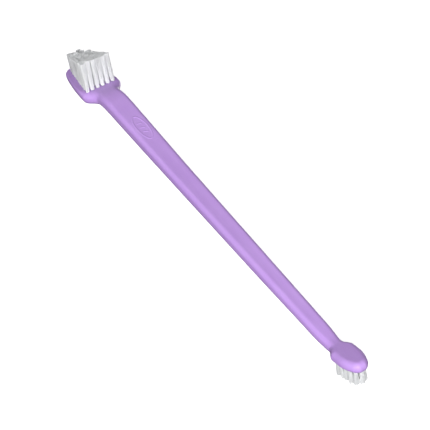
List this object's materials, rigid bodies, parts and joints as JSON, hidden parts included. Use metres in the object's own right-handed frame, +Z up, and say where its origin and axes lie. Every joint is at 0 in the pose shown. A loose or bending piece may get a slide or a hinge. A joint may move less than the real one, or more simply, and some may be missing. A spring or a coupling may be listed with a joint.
{
  "type": "double-ended pet toothbrush",
  "caption": "Double-ended pet toothbrush: a straight tapered handle with a large angled bristle head at one end and a small one facing the other way at the other.",
  "frame": {"origin": "centre of the underside of the brush's bounding box, on the surface it lies on", "axes": "+X along the handle from the large head to the small head, +Y across the handle, +Z up: the large head's bristles point up and the small head's point down"},
  "size_m": [0.209, 0.0182, 0.0244],
  "materials": {
    "body_plastic": "satin moulded polypropylene, lilac",
    "bristle_nylon": "white nylon filament"
  },
  "bodies": {
    "root": {"brush_body": "body_plastic", "large_tuft_1_1": "bristle_nylon", "large_tuft_1_2": "bristle_nylon", "large_tuft_1_3": "bristle_nylon", "large_tuft_1_4": "bristle_nylon", "large_tuft_1_5": "bristle_nylon", "large_tuft_1_6": "bristle_nylon", "large_tuft_2_1": "bristle_nylon", "large_tuft_2_2": "bristle_nylon", "large_tuft_2_3": "bristle_nylon", "large_tuft_2_4": "bristle_nylon", "large_tuft_2_5": "bristle_nylon", "large_tuft_2_6": "bristle_nylon", "large_tuft_3_1": "bristle_nylon", "large_tuft_3_2": "bristle_nylon", "large_tuft_3_3": "bristle_nylon", "large_tuft_3_4": "bristle_nylon", "large_tuft_3_5": "bristle_nylon", "large_tuft_3_6": "bristle_nylon", "large_tuft_4_1": "bristle_nylon", "large_tuft_4_2": "bristle_nylon", "large_tuft_4_3": "bristle_nylon", "large_tuft_4_4": "bristle_nylon", "large_tuft_4_5": "bristle_nylon", "large_tuft_5_1": "bristle_nylon", "large_tuft_5_2": "bristle_nylon", "large_tuft_5_3": "bristle_nylon", "large_tuft_5_4": "bristle_nylon", "large_tuft_5_5": "bristle_nylon", "large_tuft_6_1": "bristle_nylon", "large_tuft_6_2": "bristle_nylon", "large_tuft_6_3": "bristle_nylon", "large_tuft_6_4": "bristle_nylon", "large_tuft_6_5": "bristle_nylon", "large_tuft_7_1": "bristle_nylon", "large_tuft_7_2": "bristle_nylon", "large_tuft_7_3": "bristle_nylon", "large_tuft_7_4": "bristle_nylon", "large_tuft_8_1": "bristle_nylon", "large_tuft_8_2": "bristle_nylon", "large_tuft_8_3": "bristle_nylon", "large_tuft_8_4": "bristle_nylon", "large_tuft_9_1": "bristle_nylon", "large_tuft_9_2": "bristle_nylon", "large_tuft_9_3": "bristle_nylon", "small_tuft_1_1": "bristle_nylon", "small_tuft_1_2": "bristle_nylon", "small_tuft_1_3": "bristle_nylon", "small_tuft_2_1": "bristle_nylon", "small_tuft_2_2": "bristle_nylon", "small_tuft_2_3": "bristle_nylon", "small_tuft_3_1": "bristle_nylon", "small_tuft_3_2": "bristle_nylon", "small_tuft_3_3": "bristle_nylon", "small_tuft_4_1": "bristle_nylon", "small_tuft_4_2": "bristle_nylon", "small_tuft_4_3": "bristle_nylon", "small_tuft_5_1": "bristle_nylon", "small_tuft_5_2": "bristle_nylon", "small_tuft_5_3": "bristle_nylon"}
  },
  "joints": []
}
